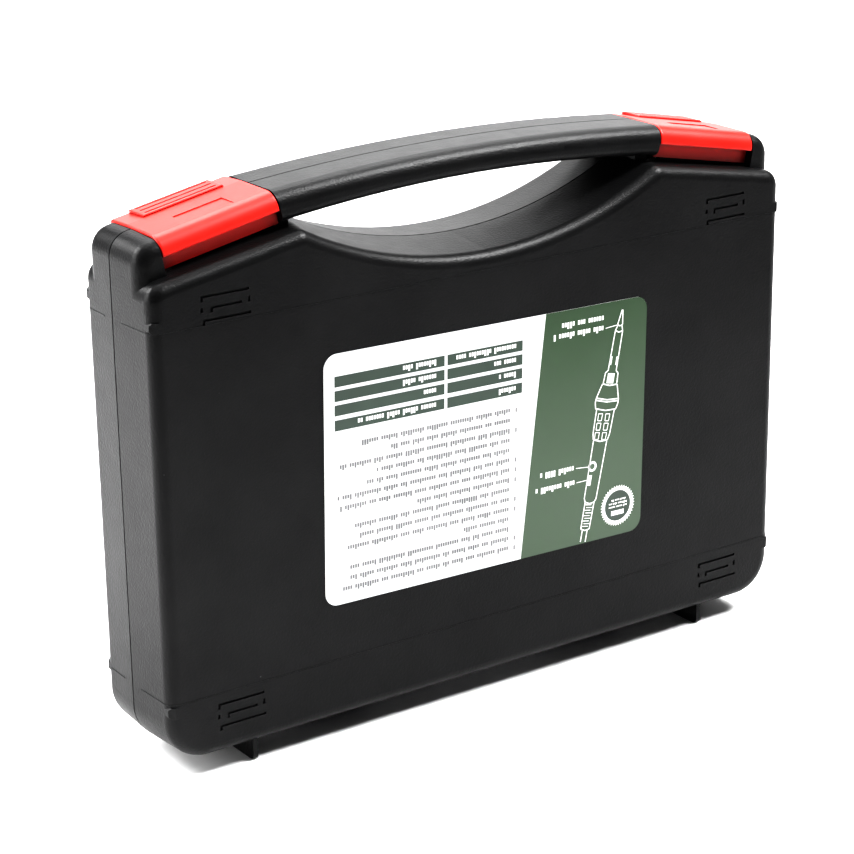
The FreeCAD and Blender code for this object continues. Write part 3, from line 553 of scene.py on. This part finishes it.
# ---- foam ----------------------------------------------------------------------------------
def soft_copy(node, voxel, smooth, ripple):
    """Soft-edged copy of a CAD foam solid: remeshed, relaxed, and gently uneven."""
    source = bpy.data.objects.new(node + "_copy", NODES[node].data.copy())
    bpy.context.scene.collection.objects.link(source)
    remesh = source.modifiers.new("remesh", "REMESH")
    remesh.mode = "VOXEL"
    remesh.voxel_size = voxel
    relax = source.modifiers.new("relax", "SMOOTH")
    relax.iterations = smooth
    relax.factor = 0.5
    bpy.context.view_layer.update()
    graph = bpy.context.evaluated_depsgraph_get()
    mesh = bpy.data.meshes.new_from_object(source.evaluated_get(graph))
    bpy.data.objects.remove(source)
    for v in mesh.vertices:
        v.co.y += ripple * noise.noise(v.co * 55.0)
    mesh.shade_smooth()
    return mesh


def foam_pieces():
    for node, name, body, voxel, smooth, ripple in (
            ("tray_foam", "foam_tray", "base", 1.3 * MM, 3, 0.12 * MM),
            ("tray_foam_left", "foam_tray_left", "base", 1.1 * MM, 3, 0.12 * MM),
            ("tray_foam_right", "foam_tray_right", "base", 1.1 * MM, 3, 0.12 * MM),
            ("lid_foam", "foam_lid_pad", "lid", 1.2 * MM, 5, 0.18 * MM)):
        soft = piece(name, soft_copy(node, voxel, smooth, ripple), body, "foam_grey", PAINT["foam_grey"])
        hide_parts(node)


foam_pieces()


# ---- spring --------------------------------------------------------------------------------
def spring():
    """Copy of the pump's spring on its own mesh, riding on the base in place of the CAD part."""
    coil = piece("spring_coil", NODES["pump_spring"].data.copy(), "base", "spring_steel",
                 PAINT["spring_steel"])
    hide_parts("pump_spring")
    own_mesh(coil)


spring()


# ---- scale round the iron's temperature knob ---------------------------------------------------
def knob_scale():
    """White ticks on the round handle, from short at the low end to long at the high end."""
    centre, _, _ = middle("temp_knob")
    body, low, high = middle("handle_body")
    radius, proud, half = (high.z - low.z) / 2, 0.04 * MM, 0.28 * MM
    inner, shortest, growth = 6.9 * MM, 1.1 * MM, 0.09 * MM
    start, sweep, ticks = math.radians(225), math.radians(270), 10
    mesh = bmesh.new()
    for i in range(ticks):
        turn = start - sweep * i / (ticks - 1)
        out = Vector((math.cos(turn), math.sin(turn)))
        across = Vector((-math.sin(turn), math.cos(turn)))
        outer = inner + shortest + growth * i
        corners = []
        for reach, side in ((inner, -1), (outer, -1), (outer, 1), (inner, 1)):
            x, z = out * reach + across * half * side
            y = body.y - math.sqrt(radius ** 2 - z ** 2) - proud
            corners.append(mesh.verts.new((centre.x + x, y, body.z + z)))
        face = mesh.faces.new(corners)
        face.normal_update()
        if face.normal.y > 0:
            face.normal_flip()
    data = bpy.data.meshes.new("knob_scale")
    mesh.to_mesh(data)
    mesh.free()
    piece("knob_scale", data, "base", "label_paper", bpy.data.materials["ink_white"])


knob_scale()


# ---- camera, floor and light ---------------------------------------------------------------
AZIMUTH, ELEVATION, ROLL = (math.radians(d) for d in (-34.544, 18.82, -0.821))
CAMERA_AT = (-0.4372, -0.61917, 0.34196)
LENS, SENSOR = 107.09, 36.0


def camera():
    """Long lens, a little above the case and to its left."""
    back = Vector((math.sin(AZIMUTH) * math.cos(ELEVATION), -math.cos(AZIMUTH) * math.cos(ELEVATION),
                   math.sin(ELEVATION)))
    level = Vector((math.cos(AZIMUTH), math.sin(AZIMUTH), 0))
    upright = back.cross(level)
    right = math.cos(ROLL) * level + math.sin(ROLL) * upright
    up = math.cos(ROLL) * upright - math.sin(ROLL) * level
    data = bpy.data.cameras.new("camera")
    data.lens, data.sensor_width = LENS, SENSOR
    data.clip_start, data.clip_end = 0.01, 50
    made = bpy.data.objects.new("camera", data)
    bpy.context.scene.collection.objects.link(made)
    made.matrix_world = Matrix.Translation(CAMERA_AT) @ Matrix((right, up, back)).transposed().to_4x4()
    bpy.context.scene.camera = made


def floor():
    """Pale sheet, large enough to have no visible end."""
    mesh = bpy.data.meshes.new("floor")
    half = 12.0
    mesh.from_pydata([(-half, -half, 0), (half, -half, 0), (half, half, 0), (-half, half, 0)], [],
                     [(0, 1, 2, 3)])
    made, tree, shader = new_material("floor_pale")
    at = place(tree)
    feed(tree, shader.inputs["Base Color"], levels(tree, grain(tree, at, 6.0), [(0.3, 0.86), (0.7, 0.88)]))
    feed(tree, shader.inputs["Roughness"], between(tree, grain(tree, at, 40.0), 0.85, 0.95))
    shader.inputs["Specular IOR Level"].default_value = 0.1
    mesh.materials.append(made)
    ground = bpy.data.objects.new("floor", mesh)
    bpy.context.scene.collection.objects.link(ground)


def softbox(name, at, aim, size, watts, spread=180):
    """Rectangular light at a place, turned to its aim; spread is in degrees."""
    data = bpy.data.lights.new(name, "AREA")
    data.shape = "RECTANGLE"
    data.size, data.size_y = size
    data.energy = watts
    data.spread = math.radians(spread)
    made = bpy.data.objects.new(name, data)
    made.visible_camera = False
    made.location = at
    made.rotation_mode = "QUATERNION"
    made.rotation_quaternion = (Vector(aim) - Vector(at)).to_track_quat("-Z", "Y")
    bpy.context.scene.collection.objects.link(made)


def lights():
    """Soft boxes round the case; the ones behind it light the floor that its front reflects."""
    softbox("overhead", (0.05, -0.02, 0.8), (0.05, -0.04, 0), (1.0, 0.8), 0.9, 75)
    softbox("ceiling", (0.9, 1.3, 1.8), (0.9, 1.3, 0), (2.0, 1.6), 55, 120)
    softbox("behind", (1.15, 1.65, 0.75), (0, 0, 0.15), (1.8, 1.1), 6, 120)
    softbox("rim", (0.65, -0.38, 1.05), (0, 0, 0.13), (0.4, 0.28), 2.3, 50)
    softbox("left", (-0.75, 0.8, 0.9), (-0.28, 0.28, 0), (0.5, 0.5), 5, 70)
    softbox("side", (-1.1, 0.45, 0.4), (0, 0, 0.08), (0.7, 0.7), 11)
    world = bpy.data.worlds.new("studio")
    world.use_nodes = True
    world.node_tree.nodes["Background"].inputs["Color"].default_value = (1, 1, 1, 1)
    world.node_tree.nodes["Background"].inputs["Strength"].default_value = 0.12
    bpy.context.scene.world = world
    view = bpy.context.scene.view_settings
    view.view_transform, view.look = "Standard", "High Contrast"


camera()
floor()
lights()
